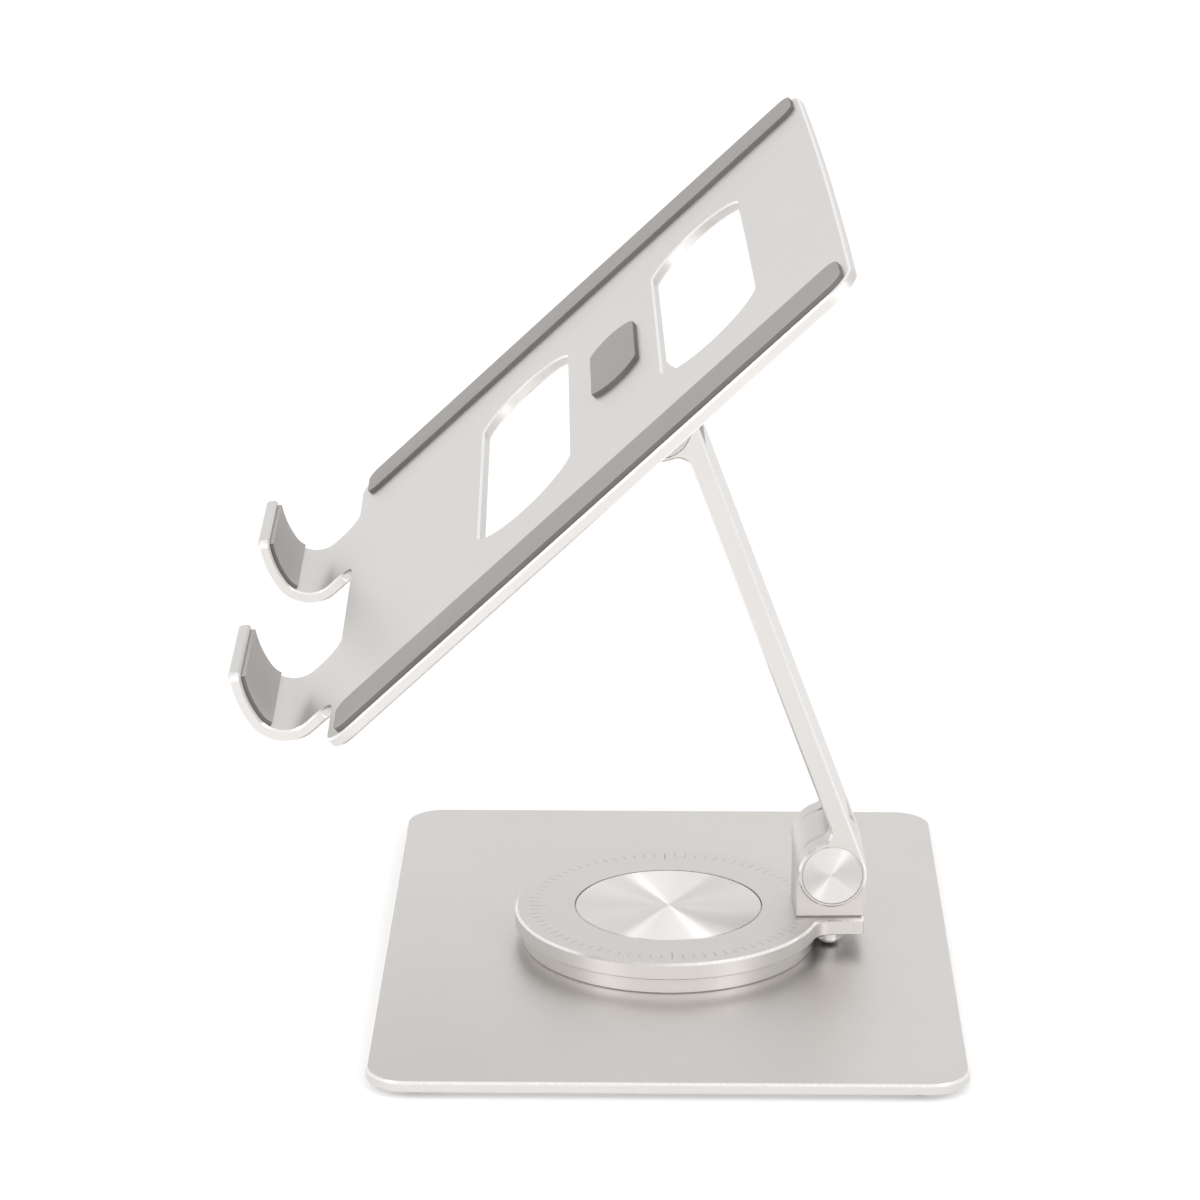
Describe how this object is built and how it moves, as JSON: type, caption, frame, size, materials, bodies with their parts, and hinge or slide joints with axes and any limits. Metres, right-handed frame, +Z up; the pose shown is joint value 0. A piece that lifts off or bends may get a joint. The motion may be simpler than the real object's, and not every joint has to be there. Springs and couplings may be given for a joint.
{
  "type": "tablet stand",
  "caption": "Desktop tablet stand: a flat base with a turntable, a friction-hinged arm and a tilting windowed panel with two hooks that hold a tablet's lower edge.",
  "frame": {"origin": "desk level under the middle of the base, on the turntable axis", "axes": "+Z up along the turntable axis; the base is square to X and Y; the upper assembly rests turned by 1.7 degrees about +Z, so its hinge axes lie 1.7 degrees from +X; the hooks and the reader are towards -Y, the lower hinge is at +Y"},
  "size_m": [0.2212, 0.1864, 0.2119],
  "materials": {
    "anodised": "satin bead-blasted and anodised",
    "spun": "spun, bright",
    "silicone": "matt",
    "rubber": "matt",
    "nylon": "matt",
    "bronze": "sintered",
    "steel": "zinc plated"
  },
  "bodies": {
    "base": {"base_plate": "anodised", "rubber_feet": "rubber", "base_ring": "anodised", "ring_screws": "steel", "glide_ring": "nylon", "pivot_bolt": "steel", "pivot_nut": "steel", "pivot_washer": "nylon", "pivot_spring": "steel"},
    "turntable": {"turntable": "anodised", "centre_cap": "spun", "lower_block": "anodised", "block_screws": "steel", "block_washers": "steel", "lock_washers": "steel", "lower_bushings": "bronze"},
    "arm": {"arm": "anodised", "lower_bolt": "steel", "lower_nut": "steel", "lower_friction_discs": "nylon", "lower_hinge_caps": "spun", "upper_bolt": "steel", "upper_nut": "steel", "upper_friction_discs": "nylon", "upper_hinge_caps": "spun"},
    "panel": {"panel": "anodised", "upper_block": "anodised", "upper_bushings": "bronze", "panel_screws": "steel", "side_strip_left": "silicone", "side_strip_right": "silicone", "centre_pad": "silicone", "hook_pad_left": "silicone", "hook_pad_right": "silicone"}
  },
  "joints": [
    {"name": "turntable_spin", "type": "hinge", "parent": "base", "child": "turntable", "pos_m": [0, 0, 0.0138], "axis": [0, 0, 1], "continuous": true},
    {"name": "arm_tilt", "type": "hinge", "parent": "turntable", "child": "arm", "pos_m": [-0.00126, 0.04248, 0.02816], "axis": [0.9996, 0.0297, 0], "range_deg": [-50, 20]},
    {"name": "panel_tilt", "type": "hinge", "parent": "arm", "child": "panel", "pos_m": [0.0001, -0.00336, 0.1498], "axis": [0.9996, 0.0297, 0], "range_deg": [-70, 30]}
  ]
}
